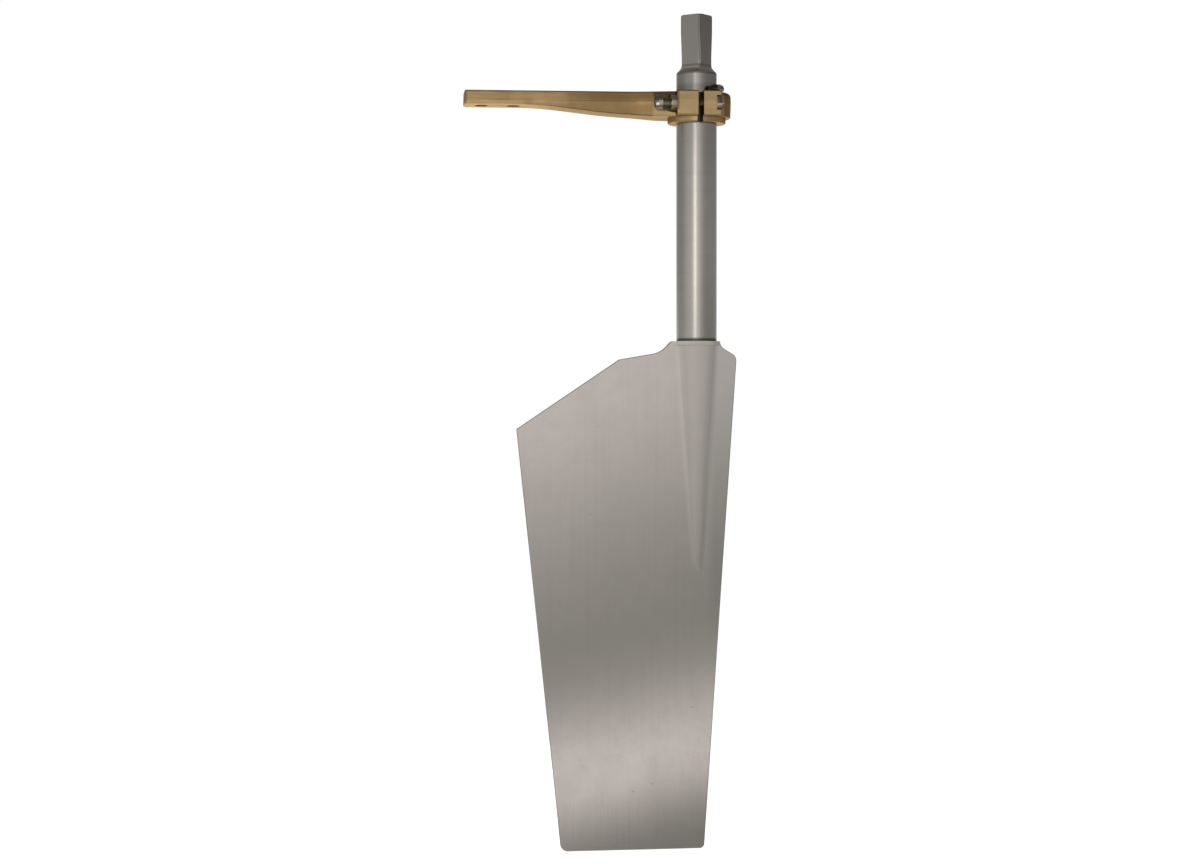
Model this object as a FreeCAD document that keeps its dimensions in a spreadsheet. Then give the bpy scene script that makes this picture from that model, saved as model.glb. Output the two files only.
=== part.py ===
import FreeCAD, Part
import math
import os

import Sketcher

# Spade rudder: a satin steel blade on a turned stock, with a cast bronze tiller arm clamped on it.
# Z runs up along the stock, X along the chord towards the leading edge, Y across the blade.
# The origin is on the stock's axis, at the top face of the blade's collar. Millimetres.

os.makedirs("parts", exist_ok=True)
doc = FreeCAD.newDocument("RudderBlade")

# Driving dimensions

sizes = {
    # blade outline, as distances behind or ahead of the stock's axis and drops below the collar
    "collarBack": 25.4,
    "heelBack": 27.2,
    "heelDrop": 1.2,
    "neckBack": 35.2,
    "neckDrop": 10.8,
    "neckRadius": 24.0,
    "shoulderBack": 77.3,
    "shoulderDrop": 18.1,
    "wingBack": 179.3,
    "wingDrop": 87.0,
    "footBack": 134.9,
    "footDrop": 504.0,
    "footRadius": 7.0,
    "toeAhead": 6.9,
    "toeDrop": 502.3,
    "toeRadius": 4.5,
    "browAhead": 39.6,
    "browDrop": 14.9,
    "browRadius": 8.0,
    "throatAhead": 23.1,
    "throatDrop": 4.8,
    "throatRadius": 8.0,
    # blade section
    "bladeThickness": 10.0,
    "trailingThickness": 5.0,
    "thinningStart": 42.0,
    "edgeRadius": 1.0,
    # boss that carries the stock's tail
    "collarDiameter": 46.0,
    "collarHeight": 4.0,
    "bossTopDiameter": 38.0,
    "bossEndDiameter": 13.0,
    "bossLength": 222.0,
    "bossBlend": 7.0,
    # stock; from the tiller arm up, each height is added to the one below it
    "stockDiameter": 40.0,
    "journalLength": 215.5,
    "shoulderRise": 20.4,
    "shoulderRadius": 2.5,
    "neckRise": 5.3,
    "neckFillet": 9.0,
    "neckDiameter": 29.5,
    "neckLength": 11.0,
    "headFlare": 24.0,
    "headLength": 17.4,
    "headDiameter": 31.3,
    "headEdge": 2.0,
    "squareAcross": 22.8,
    "squareRise": 4.2,
    "squareTurn": 49.0,
    "tailTopDiameter": 30.0,
    "tailEndDiameter": 8.0,
    "tailLength": 205.0,
    "tailClearance": 0.05,
    # tiller arm
    "tillerHeight": 24.6,
    "partingDrop": 9.5,
    "draftAngle": 2.0,
    "hubDiameter": 68.0,
    "hubTopRound": 4.0,
    "hubCollarDiameter": 57.6,
    "hubCollarHeight": 5.3,
    "boreClearance": 0.02,
    "slotWidth": 5.0,
    "earFace": 36.5,
    "earBack": 24.4,
    "earAhead": 21.2,
    "earCorner": 2.0,
    "armLength": 231.0,
    "armDepth": 32.0,
    "armEndHeight": 13.8,
    "armEndRadius": 4.0,
    "armBend": 158.0,
    "armKnee": 95.0,
    "armKneeHeight": 21.2,
    "armHeel": 42.0,
    "armCurve": 400.0,
    "flareStart": 62.0,
    "flareRadius": 60.0,
    "flareEnd": 12.0,
    "flareDepth": 54.0,
    "castingRound": 1.2,
    "linkHole": 13.0,
    "linkSpacing": 31.5,
    "linkEdge": 17.2,
    # clamp bolt and its nuts
    "boltOffset": 32.0,
    "boltDrop": 12.0,
    "boltDiameter": 8.0,
    "boltLength": 60.0,
    "boltHole": 8.6,
    "boltPoint": 1.0,
    "boltTurn": 10.0,
    "wrenchAcross": 13.0,
    "hexFaceShare": 0.94,
    "boltHeadHeight": 5.3,
    "headSeat": 15.5,
    "headPocket": 16.8,
    "nutSeat": 23.4,
    "nutPocket": 24.6,
    "nutHeight": 6.5,
    "nutGap": 7.5,
    "threadClearance": 0.02,
    "lockNutHex": 5.6,
    "lockNutHeight": 8.0,
    "lockNutCollar": 12.4,
    "lockNutRound": 0.8,
    "insertDiameter": 10.4,
    "insertHeight": 2.0,
    "insertInset": 0.7,
    # screw on top of the hub
    "screwAhead": 16.7,
    "screwFront": 22.3,
    "screwHead": 15.4,
    "screwHeadHeight": 6.8,
    "screwHeadRound": 4.4,
    "screwHeadUnder": 1.8,
    "screwShank": 6.0,
    "screwLength": 5.8,
    "screwRelief": 0.4,
    "screwSocket": 4.0,
    "screwSocketDepth": 3.0,
    # key between stock and hub
    "keyWidth": 12.0,
    "keyHeight": 8.0,
    "keyLength": 25.0,
    "keySeat": 5.0,
    "keyClearance": 0.02,
    "keyTopGap": 0.3,
    # how far a cut's sketch reaches past what it cuts
    "cutMargin": 30.0,
}

# Heights along the stock, each from the one below it

hubFoot = "Sizes.journalLength"
tillerFoot = hubFoot + " + Sizes.hubCollarHeight"
tillerTop = tillerFoot + " + Sizes.tillerHeight"
partingLevel = tillerTop + " - Sizes.partingDrop"
boltLevel = tillerTop + " - Sizes.boltDrop"
shoulderLevel = tillerTop + " + Sizes.shoulderRise"
neckFoot = shoulderLevel + " + Sizes.neckRise"
neckTop = neckFoot + " + Sizes.neckLength"
headFoot = neckTop + " + Sizes.headFlare"
headTop = headFoot + " + Sizes.headLength"

sheet = doc.addObject("Spreadsheet::Sheet", "Sizes")
for row, (name, value) in enumerate(sizes.items(), start=1):
    sheet.set("A%d" % row, name)
    sheet.set("B%d" % row, str(value))
    sheet.setAlias("B%d" % row, name)
doc.recompute()


# Small helpers

def number(expression):
    return float(sheet.evalExpression(expression))


def newBody(label):
    body = doc.addObject("PartDesign::Body", label)
    body.Label = label
    return body


def sketchOn(body, name, role, height=None):
    sketch = body.newObject("Sketcher::SketchObject", name)
    plane = [item for item in body.Origin.OriginFeatures if item.Role == role][0]
    sketch.AttachmentSupport = [(plane, "")]
    sketch.MapMode = "FlatFace"
    if height is not None:
        sketch.setExpression("AttachmentOffset.Base.z", height)
    return sketch


def bind(sketch, kind, items, expression):
    # one dimension of a sketch, tied to the sheet
    index = sketch.addConstraint(Sketcher.Constraint(kind, *items, number(expression)))
    sketch.setExpression("Constraints[%d]" % index, expression)


def pinPoint(sketch, geometry, end, x, y):
    # a sketch point held at x, y from the origin; "0" puts it on the axis itself
    if x == "0":
        sketch.addConstraint(Sketcher.Constraint("PointOnObject", geometry, end, -2))
    else:
        bind(sketch, "DistanceX", (-1, 1, geometry, end), x)
    if y == "0":
        sketch.addConstraint(Sketcher.Constraint("PointOnObject", geometry, end, -1))
    else:
        bind(sketch, "DistanceY", (-1, 1, geometry, end), y)


def outline(sketch, corners):
    # closed outline of straight sides through the corners; a corner with a radius is rounded
    points = [FreeCAD.Vector(number(x), number(y), 0) for x, y, radius in corners]
    count = len(points)
    starts = []
    ends = []
    arcs = []
    for i, (x, y, radius) in enumerate(corners):
        before = (points[i] - points[i - 1]).normalize()
        after = (points[(i + 1) % count] - points[i]).normalize()
        if radius is None:
            starts.append(points[i])
            ends.append(points[i])
            arcs.append(None)
            continue
        reach = number(radius) * math.tan(before.getAngle(after) / 2)
        turn = before.x * after.y - before.y * after.x
        inward = FreeCAD.Vector(-before.y, before.x, 0) * math.copysign(number(radius), turn)
        starts.append(points[i] - before * reach)
        ends.append(points[i] + after * reach)
        arcs.append((starts[i] + inward, turn > 0))
    lines = []
    for i in range(count):
        line = Part.LineSegment(ends[i], starts[(i + 1) % count])
        lines.append(sketch.addGeometry(line, False))
    for i, (x, y, radius) in enumerate(corners):
        lineIn = lines[i - 1]
        lineOut = lines[i]
        if radius is None:
            sketch.addConstraint(Sketcher.Constraint("Coincident", lineIn, 2, lineOut, 1))
            pinPoint(sketch, lineOut, 1, x, y)
            continue
        centre, leftTurn = arcs[i]
        first = starts[i] if leftTurn else ends[i]
        last = ends[i] if leftTurn else starts[i]
        fromAngle = math.atan2(first.y - centre.y, first.x - centre.x)
        toAngle = math.atan2(last.y - centre.y, last.x - centre.x)
        circle = Part.Circle(centre, FreeCAD.Vector(0, 0, 1), number(radius))
        arc = sketch.addGeometry(Part.ArcOfCircle(circle, fromAngle, toAngle), False)
        arcIn, arcOut = (1, 2) if leftTurn else (2, 1)
        corner = sketch.addGeometry(Part.Point(points[i]), True)
        pinPoint(sketch, corner, 1, x, y)
        sketch.addConstraint(Sketcher.Constraint("PointOnObject", corner, 1, lineIn))
        sketch.addConstraint(Sketcher.Constraint("PointOnObject", corner, 1, lineOut))
        sketch.addConstraint(Sketcher.Constraint("Tangent", lineIn, 2, arc, arcIn))
        sketch.addConstraint(Sketcher.Constraint("Tangent", arc, arcOut, lineOut, 1))
        bind(sketch, "Radius", (arc,), radius)


def circle(sketch, x, y, diameter):
    centre = FreeCAD.Vector(number(x), number(y), 0)
    ring = sketch.addGeometry(Part.Circle(centre, FreeCAD.Vector(0, 0, 1), number(diameter) / 2), False)
    if x == "0" and y == "0":
        sketch.addConstraint(Sketcher.Constraint("Coincident", ring, 3, -1, 1))
    else:
        pinPoint(sketch, ring, 3, x, y)
    bind(sketch, "Diameter", (ring,), diameter)


def hexagon(sketch, across):
    corner = "%s / sqrt(3)" % across
    names = [("%s * cos(%d deg)" % (corner, 60 * i + 30), "%s * sin(%d deg)" % (corner, 60 * i + 30))
             for i in range(6)]
    outline(sketch, [("0" if i in (1, 4) else x, y, None) for i, (x, y) in enumerate(names)])


def pad(body, name, sketch, length, symmetric=False, reverse=False, below=None, taper=None):
    feature = body.newObject("PartDesign::Pad", name)
    feature.Profile = sketch
    feature.Reversed = reverse
    if symmetric:
        feature.SideType = "Symmetric"
    feature.setExpression("Length", length)
    if below is not None:
        feature.SideType = "Two sides"
        feature.setExpression("Length2", below)
    if taper is not None:
        feature.setExpression("TaperAngle", taper)
        feature.setExpression("TaperAngle2", taper)
    sketch.Visibility = False
    doc.recompute()
    return feature


def pocket(body, name, sketch, length=None, symmetric=False, reverse=False):
    # without a length the pocket goes right through, both ways where it is symmetric
    before = body.Shape.Volume
    feature = body.newObject("PartDesign::Pocket", name)
    feature.Profile = sketch
    feature.Reversed = reverse
    if symmetric:
        feature.SideType = "Symmetric"
    if length is None:
        feature.Type = "ThroughAll"
    else:
        feature.setExpression("Length", length)
    doc.recompute()
    if not body.Shape.Volume < before - 0.01:
        raise RuntimeError("%s removed nothing" % name)
    return feature


def revolve(body, name, sketch, cut=False):
    before = body.Shape.Volume if cut else 0
    feature = body.newObject("PartDesign::Groove" if cut else "PartDesign::Revolution", name)
    feature.Profile = sketch
    feature.ReferenceAxis = (sketch, ["V_Axis"])
    feature.Angle = 360
    doc.recompute()
    if cut and not body.Shape.Volume < before - 0.01:
        raise RuntimeError("%s removed nothing" % name)
    return feature


def roundEdges(body, name, radius, wanted):
    base = body.Tip
    names = ["Edge%d" % (i + 1) for i, edge in enumerate(base.Shape.Edges) if wanted(edge)]
    if not names:
        raise RuntimeError("%s found no edges" % name)
    feature = body.newObject("PartDesign::Fillet", name)
    feature.Base = (base, names)
    feature.setExpression("Radius", radius)
    doc.recompute()
    return feature


def middle(edge):
    return edge.valueAt((edge.FirstParameter + edge.LastParameter) / 2)


def facesBeside(body, edge):
    # the directions that the faces on both sides of an edge look in, at their middles
    normals = []
    for face in body.Tip.Shape.ancestorsOfType(edge, Part.Face):
        low, high, first, last = face.ParameterRange
        normals.append(face.normalAt((low + high) / 2, (first + last) / 2))
    return normals


# Rudder blade: one piece, with the boss for the stock's tail blended into both faces

def bossRadius(share):
    # half the boss's width, at a share of its length
    return "(Sizes.bossTopDiameter * (1 - %s) + Sizes.bossEndDiameter * %s) / 2" % (share, share)


def bell(sketch, radius, halved):
    # section of the boss: an arc over each face, and on both its sides a blend that runs into the face;
    # halved, it is the part ahead of the Y axis, closed along that axis
    core = number(radius)
    blend = number("Sizes.bossBlend")
    face = number("Sizes.bladeThickness / 2")
    reach = math.sqrt((core + blend) ** 2 - (face + blend) ** 2)
    spread = math.atan2(reach, face + blend)
    quarter = math.pi / 2
    normal = FreeCAD.Vector(0, 0, 1)

    def arc(x, y, size, fromAngle, toAngle):
        ring = Part.Circle(FreeCAD.Vector(x, y, 0), normal, size)
        return sketch.addGeometry(Part.ArcOfCircle(ring, fromAngle, toAngle), False)

    def side(x, fromY, toY):
        line = Part.LineSegment(FreeCAD.Vector(x, fromY, 0), FreeCAD.Vector(x, toY, 0))
        return sketch.addGeometry(line, False)

    def join(kind, *ends):
        sketch.addConstraint(Sketcher.Constraint(kind, *ends))

    back = 0 if halved else -spread
    front = arc(0, 0, core, -quarter + back, -quarter + spread)
    rear = arc(0, 0, core, quarter - spread, quarter - back)
    frontAhead = arc(reach, -face - blend, blend, quarter, quarter + spread)
    rearAhead = arc(reach, face + blend, blend, -quarter - spread, -quarter)
    ahead = side(reach, -face, face)
    join("Tangent", front, 2, frontAhead, 2)
    join("Tangent", rear, 1, rearAhead, 1)
    join("Coincident", frontAhead, 1, ahead, 1)
    join("Coincident", ahead, 2, rearAhead, 2)
    feet = [(frontAhead, 1, "-"), (rearAhead, 2, "")]
    if halved:
        closing = side(0, core, -core)
        join("Coincident", rear, 2, closing, 1)
        join("Coincident", closing, 2, front, 1)
        join("PointOnObject", closing, 1, -2)
        join("PointOnObject", closing, 2, -2)
    else:
        frontBehind = arc(-reach, -face - blend, blend, quarter - spread, quarter)
        rearBehind = arc(-reach, face + blend, blend, -quarter, -quarter + spread)
        behind = side(-reach, face, -face)
        join("Tangent", front, 1, frontBehind, 1)
        join("Tangent", rear, 2, rearBehind, 2)
        join("Coincident", rearBehind, 1, behind, 1)
        join("Coincident", behind, 2, frontBehind, 2)
        feet += [(frontBehind, 2, "-"), (rearBehind, 1, "")]
    for item in (front, rear):
        join("Coincident", item, 3, -1, 1)
        bind(sketch, "Radius", (item,), radius)
    for item, foot, sign in feet:
        bind(sketch, "Radius", (item,), "Sizes.bossBlend")
        bind(sketch, "DistanceY", (-1, 1, item, foot), sign + "Sizes.bladeThickness / 2")
        join("Vertical", item, 3, item, foot)


def makeBlade():
    body = newBody("rudder_blade")

    # a plate larger than the blade, thinned towards the trailing edge on both faces
    slab = sketchOn(body, "bladeSlabSketch", "XZ_Plane")
    outline(slab, [
        ("-Sizes.wingBack - Sizes.cutMargin", "2 * Sizes.cutMargin", None),
        ("-Sizes.wingBack - Sizes.cutMargin", "-Sizes.footDrop - Sizes.cutMargin", None),
        ("Sizes.browAhead + Sizes.cutMargin", "-Sizes.footDrop - Sizes.cutMargin", None),
        ("Sizes.browAhead + Sizes.cutMargin", "2 * Sizes.cutMargin", None),
    ])
    pad(body, "bladeSlab", slab, "Sizes.bladeThickness", symmetric=True)

    thinning = sketchOn(body, "bladeThinningSketch", "XY_Plane")
    for side in ("", "-"):
        face = side + "Sizes.bladeThickness / 2"
        tail = side + "(Sizes.bladeThickness / 2 - (Sizes.bladeThickness - Sizes.trailingThickness) / 2" \
            " * (Sizes.wingBack + 1.5 * Sizes.cutMargin - Sizes.thinningStart)" \
            " / (Sizes.wingBack - Sizes.thinningStart))"
        outline(thinning, [
            ("-Sizes.thinningStart", face, None),
            ("-Sizes.wingBack - 1.5 * Sizes.cutMargin", tail, None),
            ("-Sizes.wingBack - 1.5 * Sizes.cutMargin", face, None),
        ])
    pocket(body, "bladeThinning", thinning, symmetric=True)

    # everything outside the blade's outline is cut away
    trim = sketchOn(body, "bladeOutlineSketch", "XZ_Plane")
    outline(trim, [
        ("-Sizes.wingBack - 2 * Sizes.cutMargin", "3 * Sizes.cutMargin", None),
        ("-Sizes.wingBack - 2 * Sizes.cutMargin", "-Sizes.footDrop - 2 * Sizes.cutMargin", None),
        ("Sizes.browAhead + 2 * Sizes.cutMargin", "-Sizes.footDrop - 2 * Sizes.cutMargin", None),
        ("Sizes.browAhead + 2 * Sizes.cutMargin", "3 * Sizes.cutMargin", None),
    ])
    outline(trim, [
        ("-Sizes.collarBack", "0", None),
        ("-Sizes.heelBack", "-Sizes.heelDrop", None),
        ("-Sizes.neckBack", "-Sizes.neckDrop", "Sizes.neckRadius"),
        ("-Sizes.shoulderBack", "-Sizes.shoulderDrop", None),
        ("-Sizes.wingBack", "-Sizes.wingDrop", None),
        ("-Sizes.footBack", "-Sizes.footDrop", "Sizes.footRadius"),
        ("Sizes.toeAhead", "-Sizes.toeDrop", "Sizes.toeRadius"),
        ("Sizes.browAhead", "-Sizes.browDrop", "Sizes.browRadius"),
        ("Sizes.throatAhead", "-Sizes.throatDrop", "Sizes.throatRadius"),
        ("Sizes.throatAhead", "0", None),
    ])
    pocket(body, "bladeOutline", trim, symmetric=True)

    def plateEdge(edge):
        # the plate's outline on both faces, without its top under the collar
        leans = sorted(abs(normal.y) for normal in facesBeside(body, edge))
        return middle(edge).z < -0.01 and len(leans) == 2 and leans[0] < 0.1 and leans[1] > 0.9

    roundEdges(body, "plateEdges", "Sizes.edgeRadius", plateEdge)

    # boss round the stock's tail: a loft of bell-shaped sections, and the last one turned for its nose
    sections = []
    for share in (0, 0.25, 0.5, 0.75, 1):
        height = "-Sizes.bossLength * %s" % share
        section = sketchOn(body, "bossSection%d" % (100 * share), "XY_Plane", height)
        bell(section, bossRadius(share), False)
        sections.append(section)
    loft = body.newObject("PartDesign::AdditiveLoft", "boss")
    loft.Profile = sections[0]
    loft.Sections = sections[1:]
    doc.recompute()
    nose = sketchOn(body, "noseSketch", "XY_Plane", "-Sizes.bossLength")
    bell(nose, bossRadius(1), True)
    revolve(body, "nose", nose)

    # collar that the stock's shoulder stands on
    collar = sketchOn(body, "collarSketch", "XY_Plane")
    circle(collar, "0", "0", "Sizes.collarDiameter")
    pad(body, "collar", collar, "Sizes.collarHeight", reverse=True)

    # tapered socket for the stock's tail
    socket = sketchOn(body, "socketSketch", "XZ_Plane")
    outline(socket, [
        ("0", "0", None),
        ("0", "-Sizes.tailLength - Sizes.tailClearance", None),
        ("Sizes.tailEndDiameter / 2 + Sizes.tailClearance", "-Sizes.tailLength - Sizes.tailClearance", None),
        ("Sizes.tailTopDiameter / 2 + Sizes.tailClearance", "0", None),
    ])
    revolve(body, "socket", socket, cut=True)
    return body


# Rudder stock: turned bar with a tapered tail, a journal and a four-sided head

def makeStock():
    body = newBody("rudder_stock")
    profile = sketchOn(body, "stockSketch", "XZ_Plane")
    outline(profile, [
        ("0", "-Sizes.tailLength", None),
        ("Sizes.tailEndDiameter / 2", "-Sizes.tailLength", None),
        ("Sizes.tailTopDiameter / 2", "0", None),
        ("Sizes.stockDiameter / 2", "0", None),
        ("Sizes.stockDiameter / 2", shoulderLevel, "Sizes.shoulderRadius"),
        ("Sizes.neckDiameter / 2", neckFoot, "Sizes.neckFillet"),
        ("Sizes.neckDiameter / 2", neckTop, None),
        ("Sizes.headDiameter / 2", headFoot, None),
        ("Sizes.headDiameter / 2", headTop, "Sizes.headEdge"),
        ("0", headTop, None),
    ])
    revolve(body, "turnedBar", profile)

    # four flats, cut from the end of the head down into the cone below the neck
    flats = sketchOn(body, "flatsSketch", "XY_Plane", shoulderLevel + " + Sizes.squareRise")
    outline(flats, [(x, y, None) for x, y in (
        ("-Sizes.headDiameter", "-Sizes.headDiameter"),
        ("Sizes.headDiameter", "-Sizes.headDiameter"),
        ("Sizes.headDiameter", "Sizes.headDiameter"),
        ("-Sizes.headDiameter", "Sizes.headDiameter"),
    )])
    half = "Sizes.squareAcross / 2 * sqrt(2)"
    corners = ["Sizes.squareTurn * 1 deg + %d * 90 deg + 45 deg" % i for i in range(4)]
    outline(flats, [("%s * cos(%s)" % (half, turn), "%s * sin(%s)" % (half, turn), None) for turn in corners])
    pocket(body, "headFlats", flats, reverse=True)

    # keyseat with round ends, on the side away from the hub's slot
    seat = sketchOn(body, "keyseatSketch", "XZ_Plane", "-Sizes.stockDiameter / 2 - Sizes.cutMargin")
    keyOutline(seat, "Sizes.keyClearance")
    pocket(body, "keyseat", seat, "Sizes.keySeat + Sizes.cutMargin", reverse=True)
    return body


def keyOutline(sketch, clearance):
    # a key's side with full round ends, centred on the hub's height
    radius = "Sizes.keyWidth / 2 + %s" % clearance
    straight = "(Sizes.keyLength - Sizes.keyWidth) / 2"
    level = hubFoot + " + (Sizes.hubCollarHeight + Sizes.tillerHeight) / 2"
    reach = number(radius)
    low = number("%s - %s" % (level, straight))
    high = number("%s + %s" % (level, straight))
    normal = FreeCAD.Vector(0, 0, 1)
    ends = sketch.addGeometry([
        Part.ArcOfCircle(Part.Circle(FreeCAD.Vector(0, high, 0), normal, reach), 0, math.pi),
        Part.LineSegment(FreeCAD.Vector(-reach, high, 0), FreeCAD.Vector(-reach, low, 0)),
        Part.ArcOfCircle(Part.Circle(FreeCAD.Vector(0, low, 0), normal, reach), math.pi, 2 * math.pi),
        Part.LineSegment(FreeCAD.Vector(reach, low, 0), FreeCAD.Vector(reach, high, 0)),
    ], False)
    for i in range(4):
        sketch.addConstraint(Sketcher.Constraint("Tangent", ends[i], 2, ends[(i + 1) % 4], 1))
    pinPoint(sketch, ends[0], 3, "0", "%s + %s" % (level, straight))
    pinPoint(sketch, ends[2], 3, "0", "%s - %s" % (level, straight))
    bind(sketch, "Radius", (ends[0],), radius)


def makeKey():
    body = newBody("stock_key")
    side = sketchOn(body, "keySketch", "XZ_Plane", "-(Sizes.stockDiameter / 2 - Sizes.keySeat)")
    keyOutline(side, "0")
    pad(body, "key", side, "Sizes.keyHeight", reverse=True)
    return body


# Tiller arm: one bronze casting with draft both ways from its parting line, and a split hub

def makeTiller():
    body = newBody("tiller_arm")
    above = "Sizes.partingDrop"
    below = "Sizes.tillerHeight - Sizes.partingDrop"
    draft = "Sizes.draftAngle * -1 deg"

    # ears on both sides of the split
    ears = sketchOn(body, "earSketch", "XY_Plane", partingLevel)
    outline(ears, [
        ("-Sizes.earBack", "0", None),
        ("-Sizes.earBack", "-Sizes.earFace", "Sizes.earCorner"),
        ("Sizes.earAhead", "-Sizes.earFace", "Sizes.earCorner"),
        ("Sizes.earAhead", "0", None),
    ])
    pad(body, "ears", ears, above, below=below, taper=draft)

    # arm, flaring out on both sides where it runs into the hub
    arm = sketchOn(body, "armSketch", "XY_Plane", partingLevel)
    outline(arm, [
        ("-Sizes.flareEnd", "Sizes.flareDepth / 2", None),
        ("-Sizes.flareStart", "Sizes.armDepth / 2", "Sizes.flareRadius"),
        ("-Sizes.armLength", "Sizes.armDepth / 2", "Sizes.armEndRadius"),
        ("-Sizes.armLength", "-Sizes.armDepth / 2", "Sizes.armEndRadius"),
        ("-Sizes.flareStart", "-Sizes.armDepth / 2", "Sizes.flareRadius"),
        ("-Sizes.flareEnd", "-Sizes.flareDepth / 2", None),
    ])
    pad(body, "arm", arm, above, below=below, taper=draft)

    # the arm's underside rises towards its end in two easy bends
    underside = sketchOn(body, "undersideSketch", "XZ_Plane")
    outline(underside, [
        ("-Sizes.armLength - Sizes.cutMargin", tillerTop + " - Sizes.armEndHeight", None),
        ("-Sizes.armBend", tillerTop + " - Sizes.armEndHeight", "Sizes.armCurve"),
        ("-Sizes.armKnee", tillerTop + " - Sizes.armKneeHeight", "Sizes.armCurve"),
        ("-Sizes.armHeel", tillerFoot, None),
        ("-Sizes.armHeel", tillerFoot + " - Sizes.cutMargin", None),
        ("-Sizes.armLength - Sizes.cutMargin", tillerFoot + " - Sizes.cutMargin", None),
    ])
    pocket(body, "underside", underside, symmetric=True)

    def rim(edge):
        # where a top or bottom face of the casting meets its sides
        leans = sorted(abs(normal.z) for normal in facesBeside(body, edge))
        return len(leans) == 2 and leans[0] < 0.2 and leans[1] > 0.9

    roundEdges(body, "castingRounds", "Sizes.castingRound", rim)

    # hub with a collar below it, turned as one shape
    lowRim = "Sizes.hubDiameter / 2 - (%s) * tan(Sizes.draftAngle * 1 deg)" % below
    highRim = "Sizes.hubDiameter / 2 - (%s) * tan(Sizes.draftAngle * 1 deg)" % above
    hub = sketchOn(body, "hubSketch", "XZ_Plane")
    outline(hub, [
        ("0", hubFoot, None),
        ("Sizes.hubCollarDiameter / 2", hubFoot, "Sizes.castingRound"),
        ("Sizes.hubCollarDiameter / 2", tillerFoot, None),
        (lowRim, tillerFoot, "Sizes.castingRound"),
        ("Sizes.hubDiameter / 2", partingLevel, None),
        (highRim, tillerTop, "Sizes.hubTopRound"),
        ("0", tillerTop, None),
    ])
    revolve(body, "hub", hub)

    bore = sketchOn(body, "boreSketch", "XY_Plane")
    circle(bore, "0", "0", "Sizes.stockDiameter + 2 * Sizes.boreClearance")
    pocket(body, "bore", bore, reverse=True)

    slot = sketchOn(body, "slotSketch", "XY_Plane")
    outline(slot, [
        ("-Sizes.slotWidth / 2", "0", None),
        ("-Sizes.slotWidth / 2", "-Sizes.earFace - Sizes.cutMargin", None),
        ("Sizes.slotWidth / 2", "-Sizes.earFace - Sizes.cutMargin", None),
        ("Sizes.slotWidth / 2", "0", None),
    ])
    pocket(body, "slot", slot, reverse=True)

    keyTop = "Sizes.stockDiameter / 2 - Sizes.keySeat + Sizes.keyHeight + Sizes.keyTopGap"
    keyway = sketchOn(body, "keywaySketch", "XY_Plane")
    outline(keyway, [
        ("-Sizes.keyWidth / 2 - Sizes.keyClearance", "0", None),
        ("Sizes.keyWidth / 2 + Sizes.keyClearance", "0", None),
        ("Sizes.keyWidth / 2 + Sizes.keyClearance", keyTop, None),
        ("-Sizes.keyWidth / 2 - Sizes.keyClearance", keyTop, None),
    ])
    pocket(body, "keyway", keyway, reverse=True)

    # bolt hole across the ears, with a pocket for the head and a spot face for the nut
    boltHole = sketchOn(body, "boltHoleSketch", "YZ_Plane")
    circle(boltHole, "-Sizes.boltOffset", boltLevel, "Sizes.boltHole")
    pocket(body, "boltHole", boltHole, symmetric=True)
    headPocket = sketchOn(body, "headPocketSketch", "YZ_Plane", "Sizes.headSeat")
    circle(headPocket, "-Sizes.boltOffset", boltLevel, "Sizes.headPocket")
    pocket(body, "headPocket", headPocket, "Sizes.cutMargin", reverse=True)
    spotFace = sketchOn(body, "spotFaceSketch", "YZ_Plane", "-Sizes.nutSeat")
    circle(spotFace, "-Sizes.boltOffset", boltLevel, "Sizes.nutPocket")
    pocket(body, "spotFace", spotFace, "Sizes.cutMargin")

    linkHoles = sketchOn(body, "linkHoleSketch", "XY_Plane")
    for inboard in ("Sizes.linkEdge", "Sizes.linkEdge + Sizes.linkSpacing"):
        circle(linkHoles, "-(Sizes.armLength - (%s))" % inboard, "0", "Sizes.linkHole")
    pocket(body, "linkHoles", linkHoles, reverse=True)

    screwHole = sketchOn(body, "screwHoleSketch", "XY_Plane", tillerTop)
    circle(screwHole, "Sizes.screwAhead", "-Sizes.screwFront", "Sizes.screwShank + 2 * Sizes.threadClearance")
    pocket(body, "screwHole", screwHole, "Sizes.screwLength + Sizes.screwRelief")
    return body


# Fasteners; each is drawn upright and then laid along its own axis

def place(body, x, y, z, axis, turn="0"):
    upright = FreeCAD.Vector(0, 0, 1)
    turned = FreeCAD.Rotation(upright, axis) * FreeCAD.Rotation(upright, number(turn))
    body.Placement = FreeCAD.Placement(FreeCAD.Vector(0, 0, 0), turned)
    body.setExpression("Placement.Base.x", x)
    body.setExpression("Placement.Base.y", y)
    body.setExpression("Placement.Base.z", z)
    doc.recompute()


def placeOnBolt(body, x, axis):
    place(body, x, "-Sizes.boltOffset", boltLevel, axis, "Sizes.boltTurn")


def hexBlock(body, height, chamferLow):
    # hexagon with its corners turned off at 30 degrees, at the top or at both ends
    plan = sketchOn(body, body.Label + "HexSketch", "XY_Plane")
    hexagon(plan, "Sizes.wrenchAcross")
    pad(body, body.Label + "Hex", plan, height)
    corners = sketchOn(body, body.Label + "CornerSketch", "XZ_Plane")
    reach = "Sizes.wrenchAcross * 2 / 3"
    flat = "Sizes.wrenchAcross / 2 * Sizes.hexFaceShare"
    depth = "(%s - %s) * tan(30 deg)" % (reach, flat)
    outline(corners, [
        (flat, height, None),
        (reach, height, None),
        (reach, "%s - %s" % (height, depth), None),
    ])
    if chamferLow:
        outline(corners, [
            (flat, "0", None),
            (reach, "0", None),
            (reach, depth, None),
        ])
    revolve(body, body.Label + "Corners", corners, cut=True)


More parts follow.
